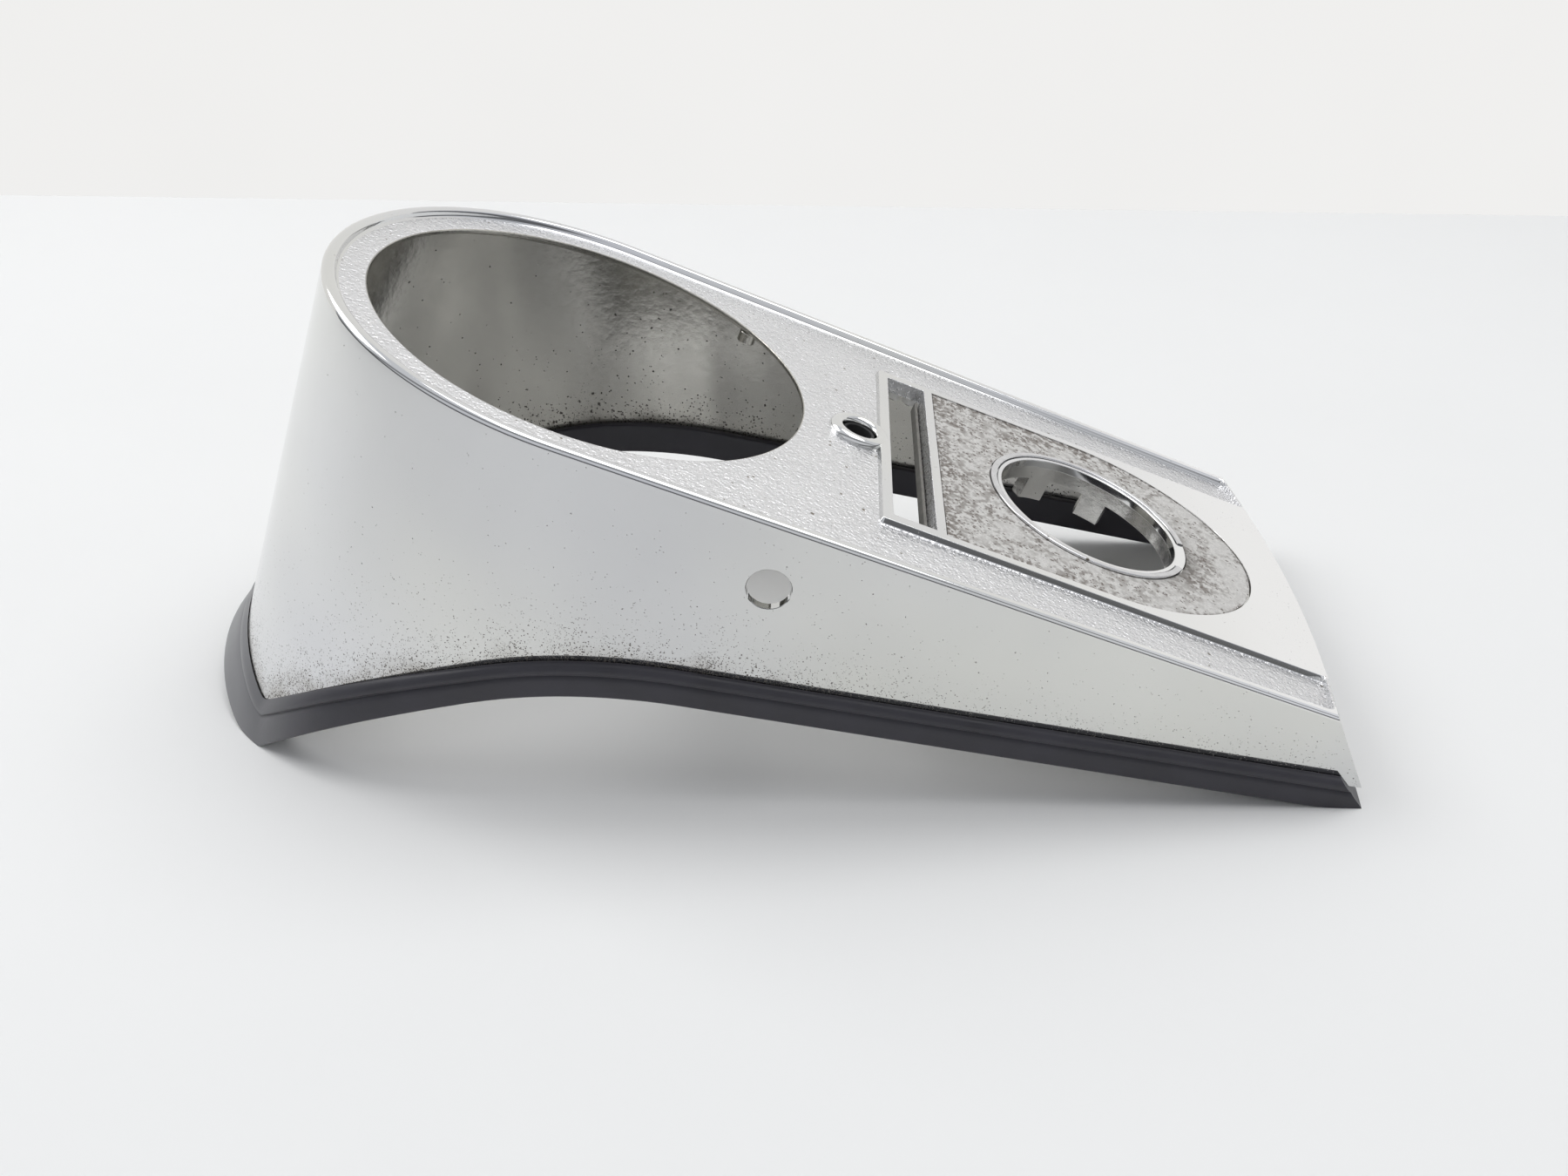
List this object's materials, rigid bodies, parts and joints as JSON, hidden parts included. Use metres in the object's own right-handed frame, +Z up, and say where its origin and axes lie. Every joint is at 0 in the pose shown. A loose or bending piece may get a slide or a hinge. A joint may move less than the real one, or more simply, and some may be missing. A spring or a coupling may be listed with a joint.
{
  "type": "motorcycle dash console",
  "caption": "Plated tank-top dash console shell with a round instrument opening, lamp slot, switch hole and rubber edge gasket, open below and at the tail.",
  "frame": {"origin": "on the surface it stands on, under the middle of its bounding box", "axes": "+X to the rear, along the length, +Y to the right side, +Z up"},
  "size_m": [0.3118, 0.145, 0.1228],
  "materials": {
    "plated_casting": "polished plating outside, stippled satin field, dull and pitted inside",
    "gasket_rubber": "satin black",
    "weathered_inlay": "blotched white, grey and brown corrosion",
    "trim_chrome": "polished",
    "bush_rubber": "matte",
    "seal_foam": "dusty matte",
    "sleeve_nylon": "matte"
  },
  "bodies": {
    "root": {"console_shell": "plated_casting", "edge_gasket": "gasket_rubber", "switch_inlay": "weathered_inlay", "switch_trim_ring": "trim_chrome", "stud_bush": "bush_rubber", "lamp_well_seal": "seal_foam", "lamp_sleeve_right_front": "sleeve_nylon", "lamp_sleeve_right_rear": "sleeve_nylon", "lamp_sleeve_left_front": "sleeve_nylon", "lamp_sleeve_left_rear": "sleeve_nylon"}
  },
  "joints": []
}
